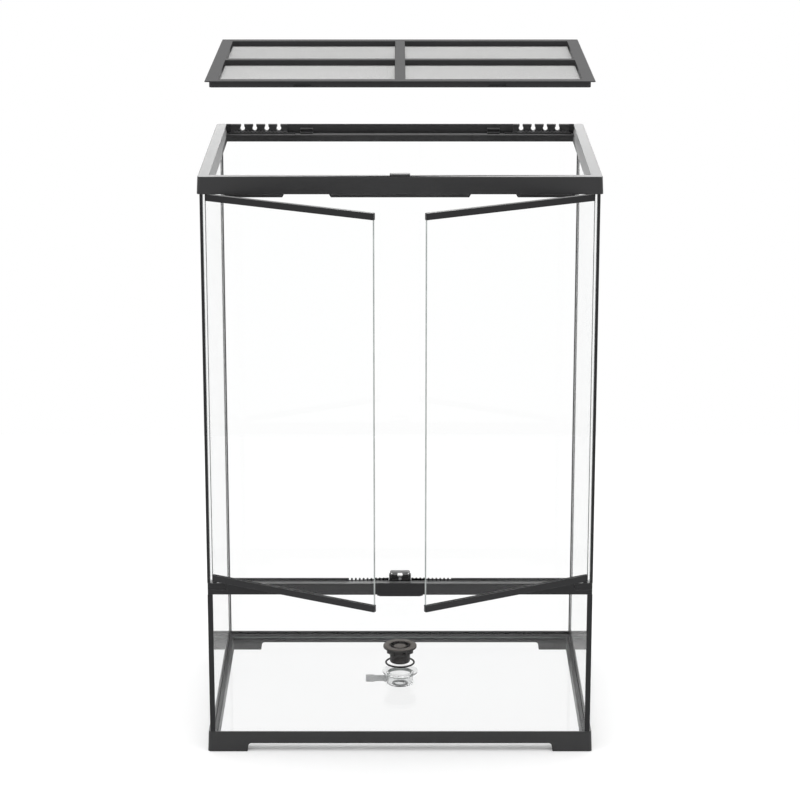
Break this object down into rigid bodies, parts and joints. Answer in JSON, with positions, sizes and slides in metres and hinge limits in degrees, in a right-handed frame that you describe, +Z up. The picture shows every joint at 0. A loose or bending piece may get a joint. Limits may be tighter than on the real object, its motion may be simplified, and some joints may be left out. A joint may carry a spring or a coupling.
{
  "type": "front-opening glass paludarium with screen lid and floor drain",
  "caption": "Glass paludarium for reptiles and amphibians: twin front doors with a lock, water section, black frames, lift-off screen lid and a floor drain with strainer.",
  "frame": {"origin": "the middle of the floor space that the tank takes with its doors ajar, on the surface it stands on", "axes": "+X to the tank's right as seen from the front, +Y to the back, +Z up"},
  "size_m": [0.61, 0.5963, 1.0683],
  "materials": {
    "frame_plastic": "satin black",
    "rail_plastic": "satin black",
    "trim_plastic": "satin black",
    "tank_glass": "clear float glass",
    "silicone": "black silicone",
    "pin_steel": "bright",
    "screen_metal": "woven wire",
    "clear_plastic": "clear",
    "grey_plastic": "satin grey",
    "strainer_plastic": "satin brown-grey",
    "seal_rubber": "matte black"
  },
  "bodies": {
    "tank": {"base_frame": "frame_plastic", "top_frame": "frame_plastic", "middle_rail": "rail_plastic", "left_hinge_block": "rail_plastic", "right_hinge_block": "rail_plastic", "cover_plate": "trim_plastic", "left_side_pane": "tank_glass", "right_side_pane": "tank_glass", "back_pane": "tank_glass", "front_low_pane": "tank_glass", "floor_pane": "tank_glass", "left_back_bead": "silicone", "right_back_bead": "silicone", "left_front_bead": "silicone", "right_front_bead": "silicone", "floor_bead": "silicone", "left_upper_trim": "trim_plastic", "right_upper_trim": "trim_plastic", "left_lower_trim": "trim_plastic", "right_lower_trim": "trim_plastic", "left_hinge_bush": "grey_plastic", "right_hinge_bush": "grey_plastic", "left_lid_clip": "frame_plastic", "right_lid_clip": "frame_plastic", "lock_housing": "rail_plastic", "lock_screw": "pin_steel", "drain_socket": "clear_plastic", "drain_outlet_ring": "grey_plastic", "drain_spigot": "grey_plastic"},
    "left_door": {"left_door_pane": "tank_glass", "left_door_bottom_rail": "rail_plastic", "left_door_top_rail": "rail_plastic", "left_lower_hinge_pin": "pin_steel", "left_upper_hinge_pin": "pin_steel"},
    "right_door": {"right_door_pane": "tank_glass", "right_door_bottom_rail": "rail_plastic", "right_door_top_rail": "rail_plastic", "right_lower_hinge_pin": "pin_steel", "right_upper_hinge_pin": "pin_steel"},
    "door_lock_bar": {"lock_bar": "rail_plastic"},
    "lid": {"lid_frame": "frame_plastic", "front_left_screen": "screen_metal", "front_right_screen": "screen_metal", "back_left_screen": "screen_metal", "back_right_screen": "screen_metal"},
    "lid_slide_latch": {"lid_latch": "frame_plastic"},
    "left_gate": {"left_cable_gate": "frame_plastic"},
    "right_gate": {"right_cable_gate": "frame_plastic"},
    "strainer": {"drain_strainer": "strainer_plastic"},
    "seal": {"drain_seal": "seal_rubber"}
  },
  "joints": [
    {"name": "left_door_swing", "type": "hinge", "parent": "tank", "child": "left_door", "pos_m": [-0.2895, -0.1559, 0.591], "axis": [0, 0, -1], "range_deg": [-29, 81]},
    {"name": "right_door_swing", "type": "hinge", "parent": "tank", "child": "right_door", "pos_m": [0.2895, -0.1559, 0.591], "axis": [0, 0, 1], "range_deg": [-29, 81]},
    {"name": "lock_bar_drop", "type": "slide", "parent": "tank", "child": "door_lock_bar", "axis": [0, 0, 1], "range_m": [-0.0043, 0]},
    {"name": "lid_lift", "type": "slide", "parent": "tank", "child": "lid", "axis": [0, 0, 1], "range_m": [-0.14, 0]},
    {"name": "lid_latch_slide", "type": "slide", "parent": "tank", "child": "lid_slide_latch", "axis": [0, 1, 0], "range_m": [0, 0.005]},
    {"name": "left_gate_slide", "type": "slide", "parent": "tank", "child": "left_gate", "axis": [1, 0, 0], "range_m": [0, 0.01]},
    {"name": "right_gate_slide", "type": "slide", "parent": "tank", "child": "right_gate", "axis": [-1, 0, 0], "range_m": [0, 0.01]},
    {"name": "strainer_lift", "type": "slide", "parent": "tank", "child": "strainer", "axis": [0, 0, 1], "range_m": [-0.0383, 0]},
    {"name": "seal_lift", "type": "slide", "parent": "tank", "child": "seal", "axis": [0, 0, 1], "range_m": [-0.0128, 0]}
  ],
  "couplings": [
    {"joint": "seal_lift", "follows": "strainer_lift", "ratio": 0.3341}
  ]
}
